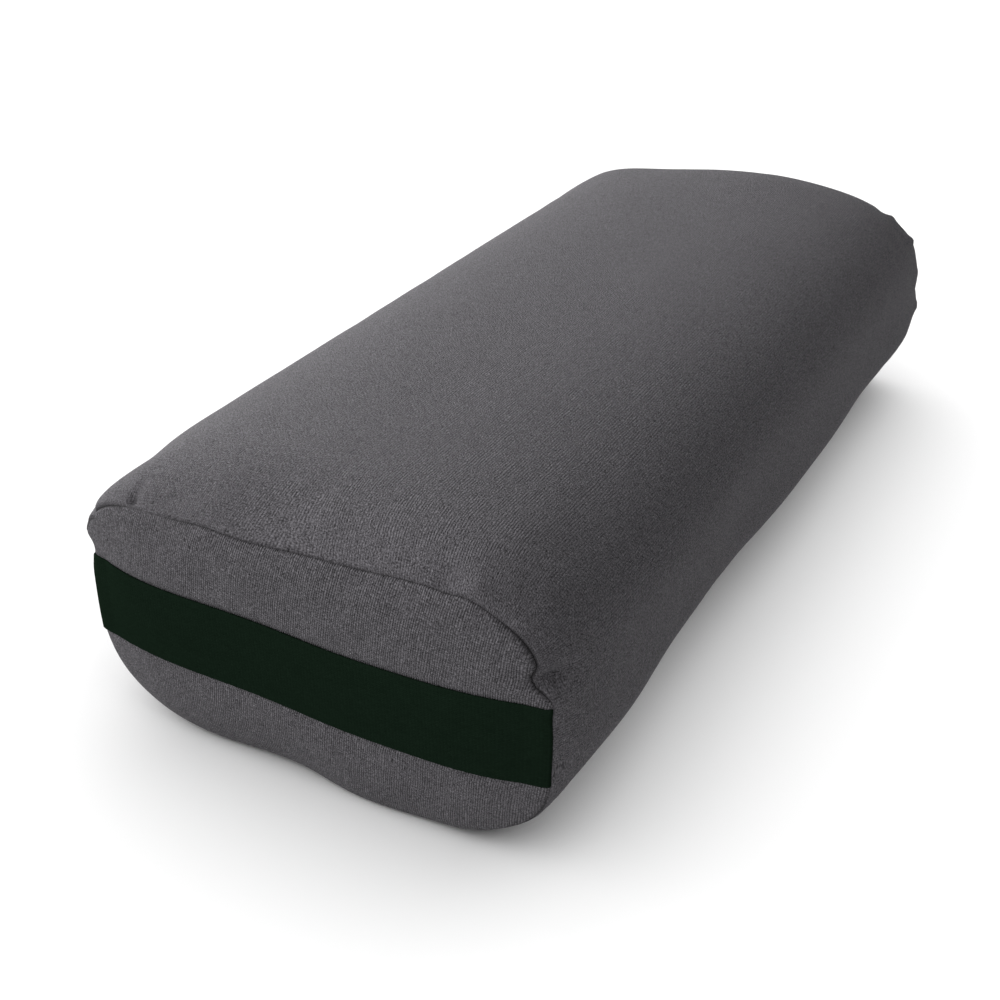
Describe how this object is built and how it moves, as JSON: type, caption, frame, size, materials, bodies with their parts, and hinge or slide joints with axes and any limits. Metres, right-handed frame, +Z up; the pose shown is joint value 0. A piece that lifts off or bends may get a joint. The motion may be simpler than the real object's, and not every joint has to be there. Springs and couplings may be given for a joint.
{
  "type": "yoga bolster",
  "caption": "Oblong stuffed yoga bolster with a zipped canvas cover, a cotton liner, batting over a foam core, and a flat webbing handle across one end.",
  "frame": {"origin": "on the floor under the middle of the cushion", "axes": "+Z up, the length along Y with the webbing handle at the -Y end, the zip along the -X side"},
  "size_m": [0.3203, 0.6757, 0.178],
  "materials": {
    "canvas": "matte",
    "webbing": "matte",
    "sewing_thread": "matte",
    "zip_tape": "matte",
    "zip_coil": "satin",
    "zip_metal": "satin",
    "liner_cotton": "matte",
    "batting": "matte",
    "foam": "matte"
  },
  "bodies": {
    "cover": {"cover_main_panel": "canvas", "cover_end_panel_front": "canvas", "cover_end_panel_rear": "canvas", "end_seam_thread_front": "sewing_thread", "end_seam_thread_rear": "sewing_thread", "side_seam_thread_front": "sewing_thread", "side_seam_thread_rear": "sewing_thread", "zip_tape_upper": "zip_tape", "zip_tape_lower": "zip_tape", "zip_coil_upper": "zip_coil", "zip_coil_lower": "zip_coil", "zip_top_stop_upper": "zip_metal", "zip_top_stop_lower": "zip_metal", "zip_bottom_stop": "zip_metal", "zip_stitch_upper": "sewing_thread", "zip_stitch_lower": "sewing_thread", "liner_main_panel": "liner_cotton", "liner_end_panel_front": "liner_cotton", "liner_end_panel_rear": "liner_cotton", "liner_seam_thread_front": "sewing_thread", "liner_seam_thread_rear": "sewing_thread", "liner_closing_thread": "sewing_thread", "foam_core": "foam", "batting_wrap": "batting", "batting_end_pad_front": "batting", "batting_end_pad_rear": "batting"},
    "handle": {"handle_webbing": "webbing"},
    "zip_slider": {"zip_slider_body": "zip_metal"},
    "zip_pull": {"zip_pull_tab": "zip_metal"}
  },
  "joints": [
    {"name": "handle_lift", "type": "slide", "parent": "cover", "child": "handle", "axis": [0, -1, 0], "range_m": [0, 0.025], "deforming": ["handle_webbing"]},
    {"name": "zip_slide", "type": "slide", "parent": "cover", "child": "zip_slider", "axis": [0, -1, 0], "range_m": [0, 0.374]},
    {"name": "pull_swing", "type": "hinge", "parent": "zip_slider", "child": "zip_pull", "pos_m": [-0.16075, 0.1877, 0.0885], "axis": [0, 0, -1], "range_deg": [0, 175]}
  ]
}
